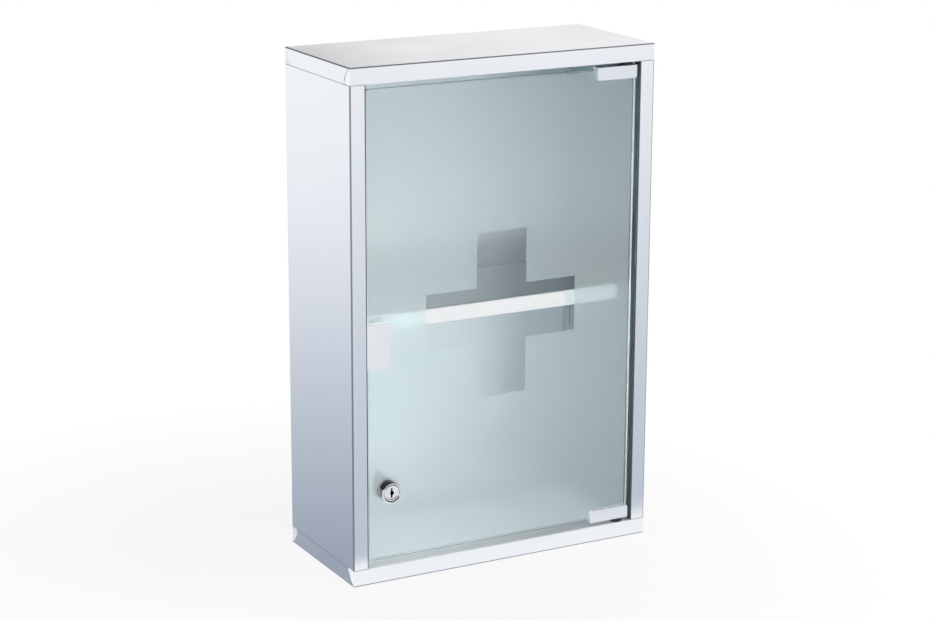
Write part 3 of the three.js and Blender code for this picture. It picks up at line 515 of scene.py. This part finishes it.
def moulded(name, colour, roughness, metallic=0.0):
    material, tree, shader = new_material(name, Metallic=metallic)
    grain = noise(tree, object_place(tree), MOULD_GRAIN, MOULD_DETAIL)
    deep = [channel * MOULD_DEEPER for channel in colour[:3]] + [1]
    gloss = ranged(tree, grain, 0.0, 1.0, roughness - MOULD_UNEVEN, roughness + MOULD_UNEVEN)
    bumps = {"Height": grain, "Strength": MOULD_BUMP, "Distance": RELIEF}
    relief = add_node(tree, "ShaderNodeBump", bumps)
    tree.links.new(mix_colours(tree, grain, deep, colour), shader.inputs["Base Color"])
    tree.links.new(gloss, shader.inputs["Roughness"])
    tree.links.new(relief.outputs["Normal"], shader.inputs["Normal"])
    return material


nylon = moulded("black_nylon", (0.013, 0.014, 0.016, 1), roughness=0.5)
soft_pad = moulded("soft_pad", (0.70, 0.71, 0.69, 1), roughness=0.6)
white_moulding = moulded("white_moulding", (0.80, 0.80, 0.77, 1), roughness=0.42)
ferrite = moulded("ferrite_magnet", (0.05, 0.052, 0.055, 1), roughness=0.6, metallic=0.3)
print("plastics made")

# %% [markdown]
# ## Finishes for the pieces
# Each piece gets the finish of the real one, and the ceiling, the rails and the inner walls also carry
# painted shade. The grain of the caps, the shelf and the linings runs across the cabinet, and that of the
# walls runs up, because each sheet is ground along its length.

# %% List the finishes
FINISHES = {
    steel_across: ["top_cap", "bottom_cap"],
    lining_steel: ["floor_panel"],
    steel_upright: ["left_side_panel", "right_side_panel"],
    inside_across: ["ceiling_panel", "left_shelf_rail", "right_shelf_rail"],
    inside_upright: ["back_panel"],
    shaded_upright: ["left_inner_wall", "right_inner_wall"],
    shelf_steel: ["shelf"],
    satin_plate: ["bottom_hinge_clamp", "top_hinge_clamp"],
    satin_steel: ["strike_plate"],
    chrome: ["lock_housing", "lock_plug"],
    glass: ["door_glass"],
    frost: ["frosting"],
    nylon: ["bottom_hinge_bush", "top_hinge_bush", "lock_washer"],
    soft_pad: ["bottom_hinge_gasket", "top_hinge_gasket", "strike_pad", "lock_gasket"],
    white_moulding: ["catch_case"],
    ferrite: ["catch_magnet"],
}
finished = {name for names in FINISHES.values() for name in names}
FINISHES[zinc_plate] = sorted(set(NODES) - finished)
FINISH_OF = {name: finish for finish, names in FINISHES.items() for name in names}
for name, node in NODES.items():
    node.data.materials.clear()
    node.data.materials.append(FINISH_OF[name])
print("zinc plated:", FINISHES[zinc_plate])

# %% [markdown]
# ## Soft edges
# No real edge is perfectly sharp: sheet is deburred after it is cut, and castings are tumbled. Each piece
# apart from the pane and its frosting is therefore a copy of its CAD node with a fine bevel on the outer
# edges. Copies are merged first, because CAD meshes come as loose triangles.

# %% Merged copies and bevels
SHARP = math.radians(35)
FLAT = math.radians(0.5)
WELD = 1e-6
DEBURRED, TUMBLED = (0.00012, 2), (0.00028, 3)  # the width of a bevel and its segments


def merged_copy(name):
    shape = bmesh.new()
    shape.from_mesh(NODES[name].data)
    bmesh.ops.remove_doubles(shape, verts=shape.verts, dist=WELD)
    bmesh.ops.dissolve_limit(shape, angle_limit=FLAT, verts=shape.verts, edges=shape.edges)
    return shape


def soften(shape, width, segments):
    outer = [edge for edge in shape.edges if edge.is_convex and edge.calc_face_angle(0) > SHARP]
    bmesh.ops.bevel(
        shape,
        geom=outer,
        offset=width,
        segments=segments,
        profile=0.5,
        affect="EDGES",
        material=-1,
        clamp_overlap=True,
    )


print("bevels of", DEBURRED[0], "and", TUMBLED[0], "m")

# %% [markdown]
# ## Faces with painted reflections and shade
# Some faces are painted lighter or darker than the rest of their piece. The folds of the sheet get a
# painted dark reflection as thin dark lines, the returns beside the door a painted shade, and the corner
# tabs of the caps and the rims of the clamps a painted highlight. The lock has a painted dark reflection
# on its upper side, painted shade in its keyway and on its round side, and a painted highlight on its
# face. One way is to place dark cards in the studio for each of them, but then they would be lost from
# another side. Here these faces get a second, third or fourth finish, found by their place and by which
# way they look.

# %% Faces of the folded sheets
SECOND, THIRD, FOURTH = 1, 2, 3
TAB = 0.008  # how far the tabs reach from the front and the back
SLANTED = 0.985  # the largest part of the normal of a slanted face is less than this
MOSTLY = 0.9  # a face looks one way if that part of its normal is more than this
LEVEL_WITH_THE_WALL = 0.97


def is_slanted(face):
    return max(abs(part) for part in face.normal) < SLANTED


def shade_inward_faces(shape):
    """Gives the second finish, a painted shade, to the faces that look sideways, up or down into the
    cabinet.
    """
    middle = (CAD_BOX[0] + CAD_BOX[1]) / 2
    for face in shape.faces:
        outward = face.calc_center_median() - middle
        inward = [-face.normal.x * outward.x, -face.normal.z * outward.z]
        if abs(face.normal.y) < LEVEL_WITH_THE_WALL and max(inward) > 0:
            face.material_index = SECOND


def paint_dark_folds(shape):
    """Gives the third finish, a painted dark reflection, to the rounds of the folds, unless they have the
    second.
    """
    for face in shape.faces:
        if face.material_index == 0 and is_slanted(face):
            face.material_index = THIRD


def paint_tab_highlights(shape):
    """Gives the second finish, a painted highlight, to the corner tabs, which are bent round from the
    front and the back.
    """
    ends = [min(vert.co.y for vert in shape.verts), max(vert.co.y for vert in shape.verts)]
    for face in shape.faces:
        nearest = min(abs(face.calc_center_median().y - end) for end in ends)
        if abs(face.normal.x) > MOSTLY and nearest < TAB:
            face.material_index = SECOND


def shade_shelf_top(shape):
    """Gives the second finish, a painted shade, to the top of the shelf."""
    for face in shape.faces:
        if face.normal.z > MOSTLY:
            face.material_index = SECOND


print("finishes for folds, tabs and the top of the shelf")

# %% Faces of the clamps and the lock
LOCK_AXIS = sum(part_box("lock_housing"), Vector()) / 2
LOCK_FACE = 0.001
KEYWAY_REACH = 0.0048
FACING_OUT, FACING_UP, ROUND_SIDE = 0.8, 0.35, 0.3  # parts of a normal, as above


def paint_rim_highlights(shape):
    """Gives the second finish, a painted highlight, to the chamfers and rounds of a clamp."""
    for face in shape.faces:
        if is_slanted(face):
            face.material_index = SECOND


def shade_lock(shape):
    """Gives the keyway a painted shade, the upper side a painted dark reflection, the face a painted
    highlight and the rest of the round side a painted shade.
    """
    front = min(vert.co.y for vert in shape.verts)
    for face in shape.faces:
        middle = face.calc_center_median()
        off_axis = math.hypot(middle.x - LOCK_AXIS.x, middle.z - LOCK_AXIS.z)
        if face.normal.y < -FACING_OUT and middle.y < front + LOCK_FACE:
            face.material_index = THIRD
        elif off_axis < KEYWAY_REACH or face.normal.z > FACING_UP:
            face.material_index = SECOND
        elif abs(face.normal.y) < ROUND_SIDE:
            face.material_index = FOURTH


print("lock axis at", [round(part, 4) for part in LOCK_AXIS])

# %% [markdown]
# ## Dressed pieces
# Each dressed piece rides on the body of its CAD node and stands for that node. Its folds are shaded
# smooth, and weighted normals keep the large faces flat beside them.

# %% Dress the pieces
BODY_OF = {
    name: body for body, names in frame["record"]["behaviour"]["bodies"].items() for name in names
}
LEFT_AS_CAD = {"door_glass", "frosting"}
CAST = {"bottom_hinge_clamp", "top_hinge_clamp"}
CAPS = {"top_cap", "bottom_cap"}
LOCK = {"lock_housing", "lock_plug"}
# The inward faces of the side panels and of the back panel carry painted shade.
INWARD_SHADE = {
    "left_side_panel": return_steel,
    "right_side_panel": return_steel,
    "back_panel": shaded_upright,
}


def put_in(name, shape, *finishes):
    """Makes the dressed piece that stands for one CAD node."""
    mesh = bpy.data.meshes.new(f"{name}_dressed")
    shape.to_mesh(mesh)
    shape.free()
    for finish in finishes:
        mesh.materials.append(finish)
    mesh.shade_smooth()
    mesh.set_sharp_from_angle(angle=SHARP)
    piece = bpy.data.objects.new(f"{name}_dressed", mesh)
    bpy.context.scene.collection.objects.link(piece)
    weighted = piece.modifiers.new("flat_faces", "WEIGHTED_NORMAL")
    weighted.keep_sharp = True
    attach(piece, BODY_OF[name])
    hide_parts(name)


for name in sorted(set(NODES) - LEFT_AS_CAD):
    shape = merged_copy(name)
    finishes = [FINISH_OF[name]]
    if name in INWARD_SHADE:
        shade_inward_faces(shape)
        paint_dark_folds(shape)
        finishes += [INWARD_SHADE[name], fold_reflection_steel]
    if name in CAPS:
        paint_tab_highlights(shape)
        paint_dark_folds(shape)
        finishes += [highlight_steel, fold_reflection_steel]
    if name == "shelf":
        shade_shelf_top(shape)
        finishes += [shelf_top_steel]
    if name in LOCK:
        shade_lock(shape)
        finishes += [dark_chrome, highlight_chrome, shaded_turned_chrome]
    if name in CAST:
        paint_rim_highlights(shape)
        finishes += [highlight_steel]
    soften(shape, *(TUMBLED if name in CAST else DEBURRED))
    put_in(name, shape, *finishes)
print("dressed pieces:", len(NODES) - len(LEFT_AS_CAD))
